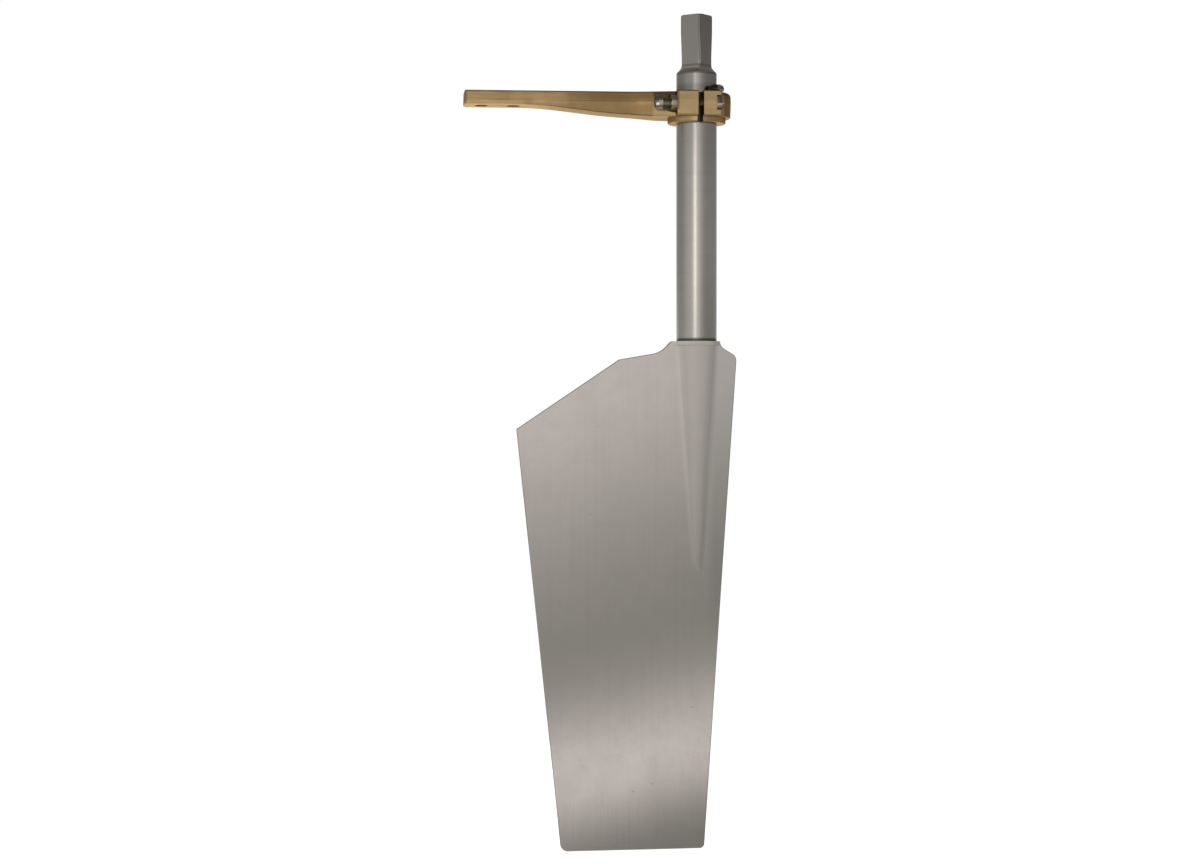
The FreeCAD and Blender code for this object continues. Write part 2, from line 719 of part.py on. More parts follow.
def makeBolt():
    body = newBody("clamp_bolt")
    hexBlock(body, "Sizes.boltHeadHeight", False)
    shank = sketchOn(body, "boltShankSketch", "XZ_Plane")
    outline(shank, [
        ("0", "0", None),
        ("0", "-Sizes.boltLength", None),
        ("Sizes.boltDiameter / 2 - Sizes.boltPoint", "-Sizes.boltLength", None),
        ("Sizes.boltDiameter / 2", "-Sizes.boltLength + Sizes.boltPoint", None),
        ("Sizes.boltDiameter / 2", "0", None),
    ])
    revolve(body, "boltShank", shank)
    placeOnBolt(body, "Sizes.headSeat", FreeCAD.Vector(1, 0, 0))
    return body


def makeNut():
    body = newBody("clamp_nut")
    hexBlock(body, "Sizes.nutHeight", True)
    bore = sketchOn(body, "nutBoreSketch", "XY_Plane")
    circle(bore, "0", "0", "Sizes.boltDiameter + 2 * Sizes.threadClearance")
    pocket(body, "nutBore", bore, reverse=True)
    placeOnBolt(body, "-Sizes.nutSeat", FreeCAD.Vector(-1, 0, 0))
    return body


lockNutSeat = "-(Sizes.nutSeat + Sizes.nutHeight + Sizes.nutGap)"


def makeLockNut():
    body = newBody("lock_nut")
    hexBlock(body, "Sizes.lockNutHex", True)
    collar = sketchOn(body, "lockCollarSketch", "XZ_Plane")
    outline(collar, [
        ("0", "Sizes.lockNutHex / 2", None),
        ("Sizes.lockNutCollar / 2", "Sizes.lockNutHex / 2", None),
        ("Sizes.lockNutCollar / 2", "Sizes.lockNutHeight", "Sizes.lockNutRound"),
        ("0", "Sizes.lockNutHeight", None),
    ])
    revolve(body, "lockCollar", collar)
    bore = sketchOn(body, "lockBoreSketch", "XY_Plane")
    circle(bore, "0", "0", "Sizes.boltDiameter + 2 * Sizes.threadClearance")
    pocket(body, "lockBore", bore, reverse=True)
    seat = sketchOn(body, "insertSeatSketch", "XZ_Plane")
    outline(seat, [
        ("0", "Sizes.lockNutHeight - Sizes.insertInset - Sizes.insertHeight", None),
        ("Sizes.insertDiameter / 2", "Sizes.lockNutHeight - Sizes.insertInset - Sizes.insertHeight", None),
        ("Sizes.insertDiameter / 2", "Sizes.lockNutHeight - Sizes.insertInset", None),
        ("0", "Sizes.lockNutHeight - Sizes.insertInset", None),
    ])
    revolve(body, "insertSeat", seat, cut=True)
    placeOnBolt(body, lockNutSeat, FreeCAD.Vector(-1, 0, 0))
    return body


def makeInsert():
    body = newBody("lock_nut_insert")
    seat = "Sizes.lockNutHeight - Sizes.insertInset - Sizes.insertHeight"
    ring = sketchOn(body, "insertSketch", "XY_Plane", seat)
    circle(ring, "0", "0", "Sizes.insertDiameter")
    circle(ring, "0", "0", "Sizes.boltDiameter + 2 * Sizes.threadClearance")
    pad(body, "insert", ring, "Sizes.insertHeight")
    placeOnBolt(body, lockNutSeat, FreeCAD.Vector(-1, 0, 0))
    return body


def makeHubScrew():
    body = newBody("hub_screw")
    profile = sketchOn(body, "hubScrewSketch", "XZ_Plane")
    outline(profile, [
        ("0", "-Sizes.screwLength", None),
        ("Sizes.screwShank / 2", "-Sizes.screwLength", None),
        ("Sizes.screwShank / 2", "0", None),
        ("Sizes.screwHead / 2", "0", "Sizes.screwHeadUnder"),
        ("Sizes.screwHead / 2", "Sizes.screwHeadHeight", "Sizes.screwHeadRound"),
        ("0", "Sizes.screwHeadHeight", None),
    ])
    revolve(body, "hubScrew", profile)
    socket = sketchOn(body, "screwSocketSketch", "XY_Plane", "Sizes.screwHeadHeight")
    hexagon(socket, "Sizes.screwSocket")
    pocket(body, "screwSocket", socket, "Sizes.screwSocketDepth")
    place(body, "Sizes.screwAhead", "-Sizes.screwFront", tillerTop, FreeCAD.Vector(0, 0, 1))
    return body


bodies = [
    makeBlade(),
    makeStock(),
    makeKey(),
    makeTiller(),
    makeBolt(),
    makeNut(),
    makeLockNut(),
    makeInsert(),
    makeHubScrew(),
]

# Check and export

doc.recompute()
for item in doc.Objects:
    if "Invalid" in item.State or "Error" in item.State:
        raise RuntimeError("%s failed: %s" % (item.Name, item.State))
for body in bodies:
    if body.Shape.isNull() or not body.Shape.isValid() or len(body.Shape.Solids) != 1:
        raise RuntimeError("%s is not one valid solid" % body.Label)
    body.Shape.exportStep("parts/%s.step" % body.Label)
    print(body.Label, round(body.Shape.Volume), body.Shape.BoundBox)
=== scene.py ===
import math

import bmesh
import bpy
from mathutils import Matrix, Vector


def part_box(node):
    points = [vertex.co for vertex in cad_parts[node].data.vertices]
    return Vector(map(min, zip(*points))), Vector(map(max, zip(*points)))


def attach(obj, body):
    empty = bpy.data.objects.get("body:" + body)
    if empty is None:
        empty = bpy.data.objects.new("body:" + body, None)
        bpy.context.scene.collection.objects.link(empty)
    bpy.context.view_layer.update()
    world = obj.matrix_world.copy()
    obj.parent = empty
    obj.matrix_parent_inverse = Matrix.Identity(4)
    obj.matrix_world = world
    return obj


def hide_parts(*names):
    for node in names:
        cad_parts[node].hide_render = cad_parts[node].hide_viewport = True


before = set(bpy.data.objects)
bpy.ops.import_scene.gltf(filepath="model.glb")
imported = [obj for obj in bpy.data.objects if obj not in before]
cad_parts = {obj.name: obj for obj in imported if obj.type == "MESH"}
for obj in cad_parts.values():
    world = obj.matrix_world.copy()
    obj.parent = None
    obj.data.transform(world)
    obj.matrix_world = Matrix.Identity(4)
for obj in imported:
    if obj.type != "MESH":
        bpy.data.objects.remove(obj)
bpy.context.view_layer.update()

# Spade rudder: satin steel blade and stock, bronze tiller arm, stainless fasteners.
# Metres, in the frame of the CAD: Z up along the stock, X ahead, Y across the blade.

scene = bpy.context.scene
mm = 0.001


# shader graphs, written as sums of sockets

class Wire:
    def __init__(self, graph, socket):
        self.graph = graph
        self.socket = socket

    def sum(self, operation, first, second):
        return self.graph.node("ShaderNodeMath", {"operation": operation}, {0: first, 1: second})

    def __add__(self, other):
        return self.sum("ADD", self, other)

    def __radd__(self, other):
        return self.sum("ADD", other, self)

    def __sub__(self, other):
        return self.sum("SUBTRACT", self, other)

    def __rsub__(self, other):
        return self.sum("SUBTRACT", other, self)

    def __mul__(self, other):
        return self.sum("MULTIPLY", self, other)

    def __rmul__(self, other):
        return self.sum("MULTIPLY", other, self)

    def __truediv__(self, other):
        return self.sum("DIVIDE", self, other)

    def __rtruediv__(self, other):
        return self.sum("DIVIDE", other, self)

    def __neg__(self):
        return self.sum("MULTIPLY", self, -1.0)


class Graph:
    def __init__(self, tree):
        self.tree = tree
        tree.nodes.clear()

    def node(self, kind, settings, inputs, output=0):
        made = self.tree.nodes.new(kind)
        for name, value in settings.items():
            if name == "stops":
                while len(made.color_ramp.elements) < len(value):
                    made.color_ramp.elements.new(0.5)
                for element, (place, colour) in zip(made.color_ramp.elements, value):
                    element.position = place
                    element.color = (*colour, 1)
            else:
                setattr(made, name, value)
        for name, value in inputs.items():
            if isinstance(value, Wire):
                self.tree.links.new(value.socket, made.inputs[name])
            else:
                made.inputs[name].default_value = value
        return Wire(self, made.outputs[output])

    def finish(self, kind, surface):
        end = self.tree.nodes.new(kind)
        self.tree.links.new(surface.socket, end.inputs["Surface"])

    def place(self):
        return self.node("ShaderNodeTexCoord", {}, {}, "Object")

    def axes(self, place):
        split = self.tree.nodes.new("ShaderNodeSeparateXYZ")
        self.tree.links.new(place.socket, split.inputs[0])
        return [Wire(self, split.outputs[i]) for i in range(3)]

    def mix(self, share, first, second, how="MIX"):
        # colours get their alpha here
        first, second = [(*side, 1) if isinstance(side, tuple) else side for side in (first, second)]
        return self.node("ShaderNodeMix", {"data_type": "RGBA", "blend_type": how},
                         {0: share, 6: first, 7: second}, 2)

    def noise(self, place, scale, detail=3.0, rough=0.5):
        return self.node("ShaderNodeTexNoise", {}, {"Vector": place, "Scale": scale, "Detail": detail,
                                                    "Roughness": rough})

    def stretched(self, place, scales, detail=3.0, rough=0.5):
        # noise with its own scale along each axis, in lumps per metre
        mapped = self.node("ShaderNodeMapping", {}, {"Vector": place, "Scale": scales})
        return self.noise(mapped, 1.0, detail, rough)

    def ramp(self, value, low, high, start=0.0, end=1.0):
        return self.node("ShaderNodeMapRange", {"interpolation_type": "SMOOTHSTEP"},
                         {"Value": value, "From Min": low, "From Max": high, "To Min": start, "To Max": end})

    def away(self, value, middle):
        return self.node("ShaderNodeMath", {"operation": "ABSOLUTE"}, {0: value - middle})

    def band(self, value, middle, half, soft):
        # 1 within half of the middle, falling off over soft
        return self.ramp(self.away(value, middle), half, half + soft, 1.0, 0.0)

    def bump(self, height, strength, depth, **onto):
        return self.node("ShaderNodeBump", {},
                         {"Height": height, "Strength": strength, "Distance": depth, **onto})

    def larger(self, first, second):
        return self.node("ShaderNodeMath", {"operation": "MAXIMUM"}, {0: first, 1: second})


def newMaterial(name, build, fixed=None):
    # build gives the varying sockets of the surface, fixed its numbers
    material = bpy.data.materials.new(name)
    material.use_nodes = True
    graph = Graph(material.node_tree)
    inputs = dict(fixed or {})
    inputs.update(build(graph, graph.place()))
    graph.finish("ShaderNodeOutputMaterial", graph.node("ShaderNodeBsdfPrincipled", {}, inputs))
    return material


# rudder blade: ground satin, brushed up and down

bladeLook = {
    "steel": (0.505, 0.474, 0.438),
    "stained": (0.435, 0.42, 0.373),
    "scratch": (0.40, 0.38, 0.35),
    "edgeGrime": (0.2, 0.19, 0.17),
    "foreShade": (0.385, 0.375, 0.345),
    "roughness": 0.105,
    "brushing": 0.4,
    # lumps per metre, along X, Y and Z where they differ
    "grain": (900, 900, 9),
    "streaks": (170, 170, 4),
    "nicks": (120, 120, 420),
    "clouds": 9.0,
    "mottles": 70.0,
    "foreAlong": (8 * mm, 19 * mm),
    "foreLevels": (-330 * mm, -200 * mm),
    "halfThick": 5.0 * mm,
    "polishedDown": 0.93,
    "bossRoughness": 0.1,
    "bossRise": 14.2 * mm,       # above the plate at the collar, and less by the taper below it
    "bossTaper": 0.056,
    "ridge": (-6 * mm, 6 * mm),
    "flankShade": (0.5, 0.42),   # behind the ridge and ahead of it
}


def bladeSurface(graph, place):
    x, y, z = graph.axes(place)
    grain = graph.stretched(place, bladeLook["grain"], 3.0, 0.6)
    streak = graph.stretched(place, bladeLook["streaks"], 2.0)
    cloud = graph.noise(place, bladeLook["clouds"], 4.0, 0.55)
    mottle = graph.noise(place, bladeLook["mottles"], 4.0, 0.6)
    nicks = graph.ramp(graph.stretched(place, bladeLook["nicks"], 2.0), 0.74, 0.8)
    colour = graph.mix(graph.ramp(cloud, 0.38, 0.68) * 0.35, bladeLook["steel"], bladeLook["stained"])
    colour = graph.mix(graph.ramp(mottle, 0.42, 0.7) * 0.22, colour, bladeLook["stained"])
    colour = graph.mix(graph.ramp(grain, 0.35, 0.7) * 0.09 + graph.ramp(streak, 0.45, 0.75) * 0.09,
                       colour, bladeLook["scratch"])
    # painted shade on the plate ahead of the boss
    ahead = graph.ramp(x, *bladeLook["foreAlong"]) * graph.ramp(z, *bladeLook["foreLevels"])
    colour = graph.mix(ahead * 0.75, colour, bladeLook["foreShade"])
    colour = graph.mix(nicks * 0.3, colour, bladeLook["edgeGrime"])
    # a duller boss, with painted shade on its flanks
    rise = graph.larger(graph.away(y, 0.0) - bladeLook["halfThick"], 0.0)
    onBoss = graph.ramp(rise, 0.2 * mm, 3 * mm)
    flank = graph.band(rise / (z * bladeLook["bossTaper"] + bladeLook["bossRise"]), 0.4, 0.2, 0.4) * onBoss
    flank = flank * graph.ramp(x, *bladeLook["ridge"], *bladeLook["flankShade"])
    colour = graph.mix(flank, colour, bladeLook["foreShade"])
    rough = bladeLook["roughness"] + (cloud - 0.5) * 0.03 + (mottle - 0.5) * 0.03 + nicks * 0.1
    rough = rough + onBoss * bladeLook["bossRoughness"]
    # grinding has softened the boss and the line where the plate starts to thin: reflections run over both
    facing = graph.node("ShaderNodeNewGeometry", {}, {}, "Normal")
    faceY, faceZ = graph.axes(facing)[1:]
    flat = graph.node("ShaderNodeCombineXYZ", {},
                      {"Y": graph.node("ShaderNodeMath", {"operation": "SIGN"}, {0: y})})
    plate = graph.ramp(graph.away(faceY, 0.0), 0.86, 0.93)
    boss = graph.ramp(rise, 0.0, 0.3 * mm) * graph.ramp(faceZ, 0.5, 0.1)
    softened = graph.node("ShaderNodeMix", {"data_type": "VECTOR"},
                          {0: graph.larger(plate, boss) * bladeLook["polishedDown"], 4: facing, 5: flat}, 1)
    softened = graph.node("ShaderNodeVectorMath", {"operation": "NORMALIZE"}, {0: softened})
    height = grain * 0.5 + streak * 0.3 + mottle * 0.2 - nicks * 0.4
    return {"Base Color": colour, "Roughness": rough,
            "Normal": graph.bump(height, 0.05, 0.0004, Normal=softened)}


bladeMaterial = newMaterial("brushedBladeSteel", bladeSurface,
                            {"Metallic": 1.0, "Anisotropic": bladeLook["brushing"]})

# rudder stock: fine turned, with painted shade above the hub and a dark line where it enters the blade

stockLook = {
    "steel": (0.515, 0.50, 0.453),
    "stained": (0.41, 0.395, 0.345),
    "groove": (0.36, 0.345, 0.305),
    "dark": (0.05, 0.047, 0.04),
    "roughness": 0.17,
    "turning": 0.7,
    # lumps per metre, along X, Y and Z where they differ
    "turned": (5, 5, 1500),
    "rings": (3, 3, 160),
    "clouds": (26, 26, 9),
    "spots": 260.0,
    "footLine": 4.4 * mm,
    "hubFoot": 215.5 * mm,
    "hubTop": 245.4 * mm,
    "slotHalf": 2.6 * mm,
    "slotDepth": (-15 * mm, -17 * mm),
    "byScrew": (7 * mm, 18 * mm),
    "shoulder": 265.8 * mm,
    "headFoot": 273.4 * mm,
    "cornerTurn": math.radians(49),
}


def stockSurface(graph, place):
    x, y, z = graph.axes(place)
    turned = graph.stretched(place, stockLook["turned"], 3.0, 0.6)
    rings = graph.stretched(place, stockLook["rings"], 2.0)
    cloud = graph.stretched(place, stockLook["clouds"], 4.0, 0.55)
    spots = graph.noise(place, stockLook["spots"], 3.0)
    foot = graph.ramp(z, 0.6 * mm, stockLook["footLine"], 1.0, 0.0)
    colour = graph.mix(graph.ramp(cloud, 0.38, 0.68) * 0.3, stockLook["steel"], stockLook["stained"])
    colour = graph.mix(graph.ramp(turned, 0.35, 0.7) * 0.16 + graph.ramp(rings, 0.45, 0.75) * 0.12,
                       colour, stockLook["groove"])
    colour = graph.mix(graph.ramp(spots, 0.66, 0.76) * 0.2, colour, stockLook["stained"])
    # painted shade: darker above the hub, less so above the shoulder
    colour = graph.mix(graph.ramp(z, stockLook["hubTop"], stockLook["hubTop"] + 12 * mm) * 0.5
                       - graph.ramp(z, stockLook["shoulder"], stockLook["shoulder"] + 10 * mm) * 0.3,
                       colour, stockLook["stained"])
    # dark lines at the shoulder and the head's foot, and painted shade on the shoulder, above the hub,
    # beside the screw and along the head's corners
    line = graph.band(z, stockLook["shoulder"] - 1.5 * mm, 0.2 * mm, 0.5 * mm)
    line = line + graph.band(z, stockLook["shoulder"] + 0.8 * mm, 1.0 * mm, 2.0 * mm) * 0.8
    line = line + graph.band(z, stockLook["headFoot"], 0.6 * mm, 1.2 * mm)
    shadeOverHub = graph.ramp(z, stockLook["hubTop"] + 12 * mm, stockLook["hubTop"] + 5 * mm)
    shadeOverHub = shadeOverHub + (graph.ramp(x, *stockLook["byScrew"])
                     * graph.ramp(z, stockLook["hubTop"] + 12 * mm, stockLook["hubTop"] + 3 * mm))
    line = line + shadeOverHub * graph.ramp(z, stockLook["hubTop"] - 0.5 * mm, stockLook["hubTop"])
    across = x * math.cos(stockLook["cornerTurn"]) + y * math.sin(stockLook["cornerTurn"])
    along = y * math.cos(stockLook["cornerTurn"]) - x * math.sin(stockLook["cornerTurn"])
    corner = graph.band(graph.away(across, 0.0) - graph.away(along, 0.0), 0.0, 0.3 * mm, 2.4 * mm)
    corner = corner * graph.ramp(z, stockLook["shoulder"] + 8 * mm, stockLook["shoulder"] + 16 * mm)
    colour = graph.mix(line * 0.35 + corner * 0.45, colour, stockLook["dark"])
    # painted shade where the stock shows through the hub's slot
    slot = graph.band(x, 0.0, stockLook["slotHalf"], 0.5 * mm) * graph.ramp(y, *stockLook["slotDepth"])
    slot = slot * graph.band(z, (stockLook["hubFoot"] + stockLook["hubTop"]) / 2,
                             (stockLook["hubTop"] - stockLook["hubFoot"]) / 2 - 0.3 * mm, 0.6 * mm)
    colour = graph.mix(foot * 0.92 + slot * 0.93, colour, stockLook["dark"])
    rough = stockLook["roughness"] + (cloud - 0.5) * 0.06 + foot * 0.2 + slot * 0.3
    return {"Base Color": colour, "Roughness": rough,
            "Normal": graph.bump(turned * 0.7 + rings * 0.3, 0.08, 0.0003)}


stockMaterial = newMaterial("turnedStockSteel", stockSurface, {
    "Metallic": 1.0, "Anisotropic": stockLook["turning"], "Anisotropic Rotation": 0.25})

# tiller arm: cast bronze, linished along its length, cleaner at the end and tarnished towards the hub

armLook = {
    "bronze": (0.57, 0.40, 0.195),
    "tarnishAndShade": (0.25, 0.158, 0.065),
    "streak": (0.36, 0.235, 0.105),
    "pale": (0.60, 0.44, 0.235),
    "grimeAndShade": (0.035, 0.028, 0.02),
    "grazing": (0.92, 0.74, 0.5, 1),
    "roughness": 0.34,
    # lumps per metre, along X, Y and Z where they differ
    "linishing": (22, 260, 420),
    "grain": (9, 60, 130),
    "clouds": 34.0,
    "pits": 520.0,
    # along X, from where each starts to where it is full
    "tarnishing": (-150 * mm, -95 * mm),
    "upperShading": (-125 * mm, -85 * mm),
    "underDarkening": (-165 * mm, -130 * mm),
    "lowerLining": (-200 * mm, -120 * mm),
    "upperLining": (-210 * mm, -120 * mm),
    "nuts": (-47 * mm, -44 * mm),
    "ears": (-25 * mm, -22 * mm),
    "flank": (23 * mm, 26 * mm),
    "front": (-4 * mm, -8 * mm),       # along Y
    "earLine": -22.2 * mm,
    "slotHalf": 2.7 * mm,
    "slotFront": -19.5 * mm,
    "collarTop": 220 * mm,
    "earFoot": (225 * mm, 227 * mm),
    "boltLevel": 233.4 * mm,
    "partingLevel": 235.9 * mm,
    "topLevels": (236 * mm, 241 * mm),
    "top": 245.4 * mm,
}


def armSurface(graph, place):
    x, y, z = graph.axes(place)
    linish = graph.stretched(place, armLook["linishing"], 3.0, 0.6)
    grain = graph.stretched(place, armLook["grain"], 3.0, 0.55)
    cloud = graph.noise(place, armLook["clouds"], 5.0, 0.6)
    pits = graph.noise(place, armLook["pits"], 2.0)
    # tarnish grows from the worn end to the hub, painted shade darkens the upper half of the face towards
    # the hub, and the ears are rubbed clean again
    ears = graph.ramp(x, *armLook["ears"])
    towardsHub = graph.ramp(x, *armLook["tarnishing"]) - ears
    tone = graph.ramp(cloud + (grain - 0.5) * 0.7 + towardsHub * 0.13, 0.42, 0.78)
    colour = graph.mix(tone * 0.6, armLook["bronze"], armLook["tarnishAndShade"])
    colour = graph.mix(towardsHub * 0.6, colour, armLook["tarnishAndShade"])
    upperShade = graph.ramp(x, *armLook["upperShading"]) - ears
    upperShade = upperShade * graph.ramp(z + (grain - 0.5) * 14 * mm, *armLook["topLevels"])
    colour = graph.mix(upperShade * 0.55, colour, armLook["tarnishAndShade"])
    colour = graph.mix(graph.ramp(linish, 0.4, 0.72) * 0.35, colour, armLook["streak"])
    collar = graph.ramp(z, armLook["collarTop"] + 1 * mm, armLook["collarTop"])
    rubbed = graph.ramp(grain, 0.6, 0.78) * 0.3 + ears * 0.5 + collar * 0.3
    colour = graph.mix(rubbed, colour, armLook["pale"])
    # the underside darkens towards the hub, and painted shade lines its edge and the top edge
    faceZ = graph.axes(graph.node("ShaderNodeNewGeometry", {}, {}, "Normal"))[2]
    under = graph.ramp(faceZ, -0.6, -0.9) * graph.ramp(x, *armLook["underDarkening"])
    edgeShade = graph.band(faceZ, -0.45, 0.25, 0.1) * graph.ramp(x, *armLook["lowerLining"]) * 0.6
    edgeShade = edgeShade + graph.band(faceZ, 0.5, 0.35, 0.1) * graph.ramp(x, *armLook["upperLining"], 0.3, 0.6)
    colour = graph.mix(under * 0.7, colour, armLook["tarnishAndShade"])
    colour = graph.mix(edgeShade, colour, armLook["grimeAndShade"])
    # round the nuts: painted shadow above, painted light below on the pale and yellow machined seat, and a
    # painted dark line at the ear's corner
    front = graph.ramp(y, *armLook["front"])
    byNuts = (graph.ramp(x + (cloud - 0.5) * 5 * mm, *armLook["nuts"]) - ears) * front
    below = byNuts * graph.ramp(z, armLook["boltLevel"] + 2 * mm, armLook["boltLevel"] - 4 * mm)
    colour = graph.mix(below * 0.45, colour, armLook["pale"])
    shadeAboveNuts = byNuts * graph.ramp(z + (grain - 0.5) * 3 * mm,
                               armLook["boltLevel"] + 6 * mm, armLook["boltLevel"] + 9 * mm)
    colour = graph.mix(shadeAboveNuts * 0.6, colour, armLook["grimeAndShade"])
    earLine = graph.band(x, armLook["earLine"], 0.3 * mm, 0.5 * mm) * graph.ramp(z, *armLook["earFoot"])
    colour = graph.mix(earLine * front * 0.6, colour, armLook["grimeAndShade"])
    # painted shade on the hub's flank, which faces away from the light
    colour = graph.mix(graph.ramp(x, *armLook["flank"]) * 0.72, colour, armLook["tarnishAndShade"])
    # painted shade in the slot and on the top edges, and grime along the parting line
    slot = graph.band(x, 0.0, armLook["slotHalf"], 0.3 * mm)
    slot = slot * graph.ramp(y, armLook["slotFront"] + 1 * mm, armLook["slotFront"])
    colour = graph.mix(slot * 0.93, colour, armLook["grimeAndShade"])
    parting = graph.band(z + (cloud - 0.5) * 1.2 * mm, armLook["partingLevel"], 0.15 * mm, 0.5 * mm)
    colour = graph.mix(parting * graph.ramp(linish, 0.3, 0.6) * 0.4, colour, armLook["grimeAndShade"])
    topEdgeShade = graph.band(z, armLook["top"] - 0.5 * mm, 0.5 * mm, 0.9 * mm)
    colour = graph.mix(topEdgeShade * 0.5, colour, armLook["tarnishAndShade"])
    rough = armLook["roughness"] + (cloud - 0.5) * 0.2 + (linish - 0.5) * 0.12 + shadeAboveNuts * 0.15
    return {"Base Color": colour, "Roughness": rough,
            "Normal": graph.bump(linish * 0.6 + pits * 0.25 + grain * 0.3, 0.22, 0.0004)}


armMaterial = newMaterial("linishedBronze", armSurface,
                          {"Metallic": 1.0, "Specular Tint": armLook["grazing"]})

# fasteners: stainless, dulled and browned, with painted shade in places and one painted highlight

fastenerLook = {
    "steel": (0.42, 0.38, 0.315),
    "stainAndShade": (0.13, 0.11, 0.08),
    "shade": (0.02, 0.018, 0.015),
    "highlight": (0.9, 0.86, 0.8),
    "roughness": 0.16,
    "clouds": 150.0,             # lumps per metre
    "scuffs": 900.0,
    "boltLevel": 233.4 * mm,
    "outerEnd": -45.1 * mm,
    "rubbed": -43.0 * mm,
    "slotHalf": 2.5 * mm,
    "screwFrom": 244 * mm,
    "screwMiddle": 17.2 * mm,
}


def fastenerSurface(graph, place):
    x, _, z = graph.axes(place)
    cloud = graph.noise(place, fastenerLook["clouds"], 4.0, 0.6)
    scuffs = graph.noise(place, fastenerLook["scuffs"], 3.0)
    colour = graph.mix(graph.ramp(cloud, 0.34, 0.66) * 0.75, fastenerLook["steel"], fastenerLook["stainAndShade"])
    # painted shade on the lower side of the bolt and its nuts, and a painted highlight on the outer nut
    below = graph.ramp(z, fastenerLook["boltLevel"] - 2.2 * mm, fastenerLook["boltLevel"] - 4 * mm)
    colour = graph.mix(below * 0.95, colour, fastenerLook["stainAndShade"])
    rubbed = graph.band(x, fastenerLook["rubbed"], 0.9 * mm, 0.8 * mm)
    rubbed = rubbed * graph.band(z, fastenerLook["boltLevel"] - 2.2 * mm, 0.7 * mm, 1 * mm)
    colour = graph.mix(rubbed, colour, fastenerLook["highlight"])
    # painted shade where the shank crosses the hub's slot, a painted dark reflection on the screw towards
    # the stock, and painted shade at the outer end
    fastenerShade = graph.band(x, 0.0, fastenerLook["slotHalf"], 0.3 * mm)
    onScrew = graph.ramp(x, fastenerLook["screwMiddle"] + 1 * mm, fastenerLook["screwMiddle"] - 1 * mm)
    fastenerShade = fastenerShade + onScrew * graph.ramp(z, fastenerLook["screwFrom"], fastenerLook["screwFrom"] + 1 * mm)
    fastenerShade = fastenerShade + graph.ramp(x, fastenerLook["outerEnd"] + 0.5 * mm, fastenerLook["outerEnd"]) * 0.85
    colour = graph.mix(fastenerShade * 0.9, colour, fastenerLook["shade"])
    rough = fastenerLook["roughness"] + (cloud - 0.5) * 0.16
    return {"Base Color": colour, "Roughness": rough, "Normal": graph.bump(scuffs, 0.16, 0.0002)}


fastenerMaterial = newMaterial("stainedStainless", fastenerSurface, {"Metallic": 1.0})


def nylonSurface(graph, place):
    cloud = graph.noise(place, 300.0, 2.0)
    return {"Base Color": graph.mix(cloud, (0.78, 0.77, 0.7), (0.66, 0.65, 0.58)),
            "Roughness": 0.45 + (cloud - 0.5) * 0.2}


nylonMaterial = newMaterial("nylon", nylonSurface)

finishes = {
    "rudder_blade": bladeMaterial,
    "rudder_stock": stockMaterial,
    "stock_key": stockMaterial,
    "tiller_arm": armMaterial,
    "clamp_bolt": fastenerMaterial,
    "clamp_nut": fastenerMaterial,
    "lock_nut": fastenerMaterial,
    "lock_nut_insert": nylonMaterial,
    "hub_screw": fastenerMaterial,
}
for node, material in finishes.items():
    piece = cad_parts[node]
    for slot in piece.material_slots:
        slot.material = material
print("finishes laid on", len(finishes), "nodes")

# clamp bolt: the CAD's bolt again, with its thread cut
# it is drawn upright, with the head's seat at zero, and then laid along X

boltShape = {
    "across": 13 * mm,
    "headHeight": 5.3 * mm,
    "headFlat": 0.94,        # share of the width across flats that the head's end keeps
    "chamfer": math.radians(30),
    "cuts": 36,
    "turn": math.radians(10),
    "shank": 3.93 * mm,
    "plainLength": 38 * mm,
    "crest": 3.95 * mm,
    "root": 3.3 * mm,
    "crestShare": 0.14,
    "pitch": 1.25 * mm,
    "turnSteps": 28,
    "point": 0.9 * mm,
    "sharpAngle": math.radians(32),
}


def cutRound(shape, radius, height, lean, count):
    # planes that lean in all round, so that they turn off what stands past the radius at this height
    for i in range(count):
        around = 2 * math.pi * i / count
        out = Vector((math.cos(around), math.sin(around), 0))
        normal = out * math.sin(lean) + Vector((0, 0, math.cos(lean)))
        bmesh.ops.bisect_plane(shape, geom=shape.verts[:] + shape.edges[:] + shape.faces[:], dist=1e-8,
                               plane_co=out * radius + Vector((0, 0, height)),
                               plane_no=normal, clear_outer=True)
        bmesh.ops.holes_fill(shape, edges=[edge for edge in shape.edges if edge.is_boundary], sides=0)


